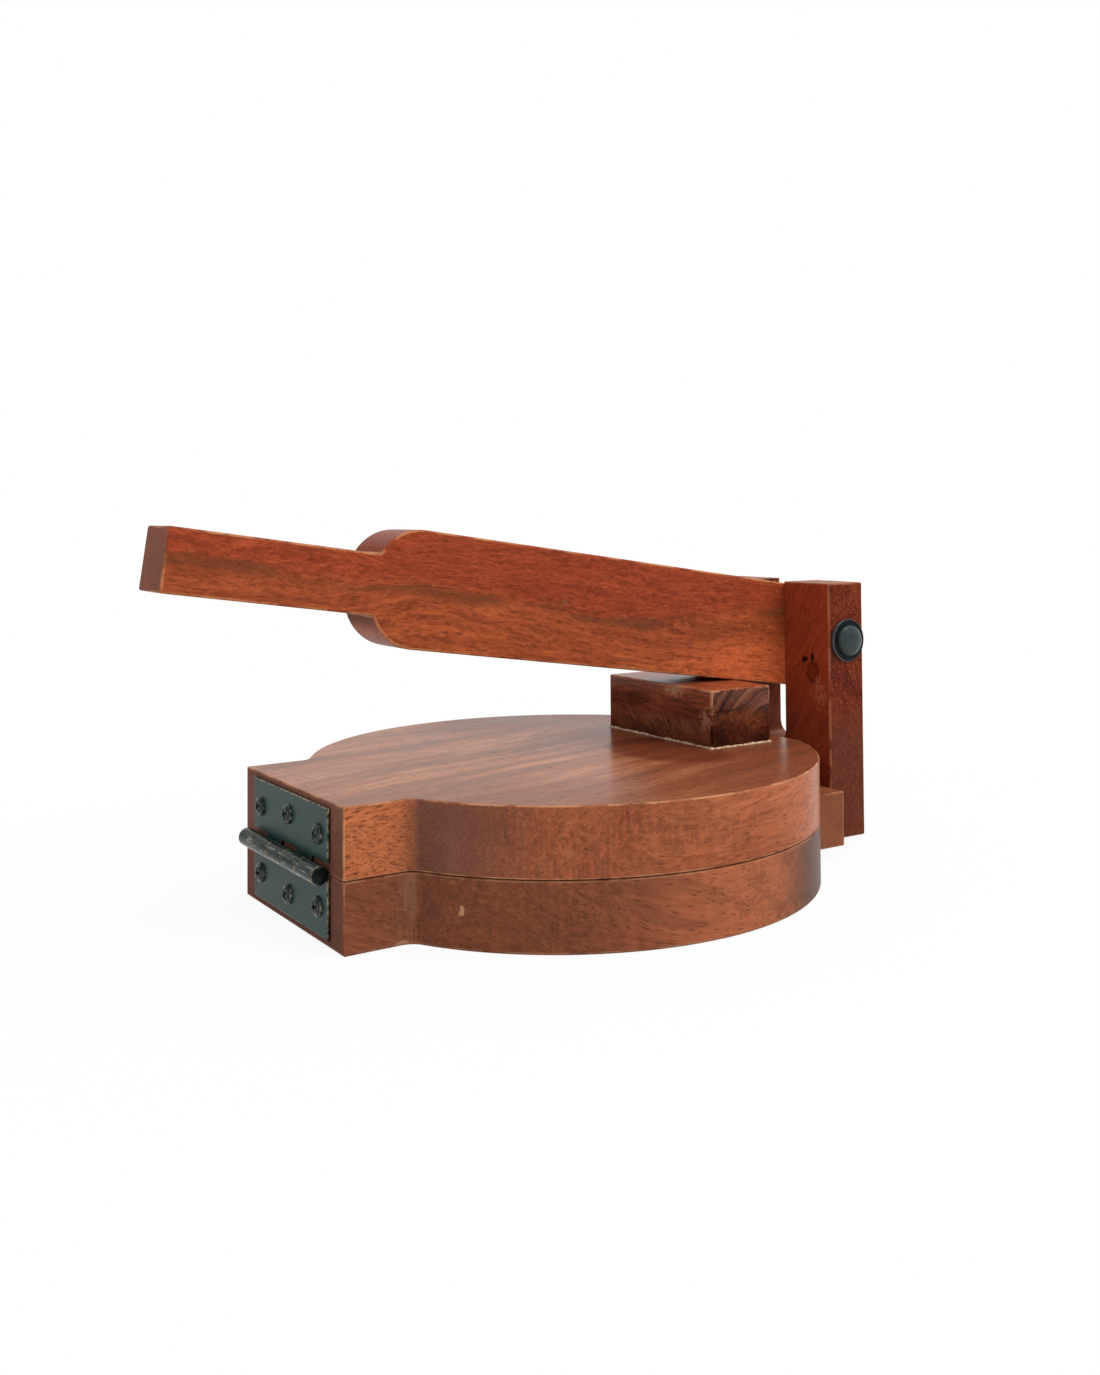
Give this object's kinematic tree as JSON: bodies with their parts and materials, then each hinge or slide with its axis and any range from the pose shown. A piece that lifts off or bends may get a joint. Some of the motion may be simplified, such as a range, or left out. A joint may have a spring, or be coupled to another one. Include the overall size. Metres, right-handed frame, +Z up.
{
  "type": "tortilla press",
  "caption": "Wooden tortilla press: round hinged boards squeezed by a long lever that pivots in a fork and bears on a block on the lid.",
  "frame": {"origin": "centre of the round base board's underside", "axes": "+X from the hinge to the fork, +Y along both pivots, +Z up"},
  "size_m": [0.305, 0.2, 0.14],
  "materials": {
    "base_wood": "satin lacquered hardwood",
    "lid_wood": "satin lacquered hardwood",
    "block_wood": "satin lacquered dark hardwood",
    "rail_wood": "satin lacquered hardwood",
    "fork_wood": "glossy lacquered dark red hardwood",
    "lever_wood": "satin lacquered orange red hardwood",
    "hinge_paint": "dark green-grey paint worn to brass at the edges",
    "black_bolt": "black plated steel",
    "screw_black": "black plated steel",
    "screw_steel": "zinc plated steel"
  },
  "bodies": {
    "base": {"base_board": "base_wood", "rail": "rail_wood", "fork": "fork_wood", "lower_leaf": "hinge_paint", "hinge_pin": "hinge_paint", "lower_screw_1": "screw_black", "lower_screw_2": "screw_black", "lower_screw_3": "screw_black", "pivot_bolt": "black_bolt", "head_washer": "black_bolt", "nut_washer": "black_bolt", "pivot_nut": "black_bolt", "rail_screw_1": "screw_steel", "rail_screw_2": "screw_steel", "fork_screw_1": "screw_steel", "fork_screw_2": "screw_steel", "fork_screw_3": "screw_steel", "fork_screw_4": "screw_steel"},
    "lid": {"lid_board": "lid_wood", "press_block": "block_wood", "upper_leaf": "hinge_paint", "upper_screw_1": "screw_black", "upper_screw_2": "screw_black", "upper_screw_3": "screw_black"},
    "lever": {"lever": "lever_wood"}
  },
  "joints": [
    {"name": "lever_pivot", "type": "hinge", "parent": "base", "child": "lever", "pos_m": [0.1195, 0.003, 0.0883], "axis": [0, 1, 0], "range_deg": [0, 187]},
    {"name": "lid_hinge", "type": "hinge", "parent": "base", "child": "lid", "pos_m": [-0.1184, -0.0002, 0.0247], "axis": [0, -1, 0], "range_deg": [0, 110]}
  ],
  "couplings": [
    {"joint": "lid_hinge", "follows": "lever_pivot", "ratio": 0.17}
  ]
}
